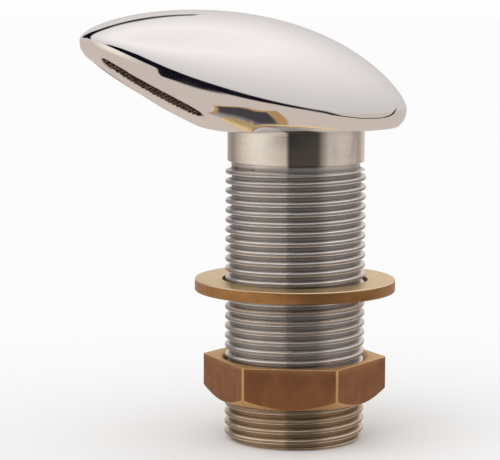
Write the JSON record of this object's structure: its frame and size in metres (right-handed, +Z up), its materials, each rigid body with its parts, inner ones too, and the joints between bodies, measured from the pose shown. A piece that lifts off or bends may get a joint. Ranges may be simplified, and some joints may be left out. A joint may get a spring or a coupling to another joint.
{
  "type": "cowl vent",
  "caption": "Clam-shell vent head with a gauzed air slot low on each side of its nose, on a hollow threaded stem with a deck washer and a hexagonal backing nut.",
  "frame": {"origin": "centre of the flat seat under the head, on the stem's axis", "axes": "+Z up along the stem, from the nut to the head; -X towards the nose and the air slots; +Y to the head's right, seen from the tail"},
  "size_m": [0.078, 0.0476, 0.102],
  "materials": {
    "polished_chrome": "mirror polished chrome plate",
    "satin_nickel": "satin plated, with turning marks",
    "bronze_gauze": "dull woven wire",
    "brass": "turned brass, bright edges",
    "brass_nut": "drawn hexagon brass, brownish, with bright edges"
  },
  "bodies": {
    "vent": {"cowl_cap": "polished_chrome", "cowl_base": "polished_chrome", "threaded_stem": "satin_nickel", "gauze_left": "bronze_gauze", "gauze_right": "bronze_gauze", "frame_left": "brass", "frame_right": "brass"},
    "washer": {"deck_washer": "brass"},
    "nut": {"backing_nut": "brass_nut"}
  },
  "joints": [
    {"name": "washer_slide", "type": "slide", "parent": "vent", "child": "washer", "axis": [0, 0, 1], "range_m": [-0.0101, 0.0358]},
    {"name": "nut_turn", "type": "hinge", "parent": "washer", "child": "nut", "pos_m": [0, 0, -0.0594], "axis": [0, 0, 1], "range_deg": [-1576, 5583]}
  ],
  "couplings": [
    {"joint": "nut_turn", "follows": "washer_slide", "rad_per_m": 2721.2}
  ]
}
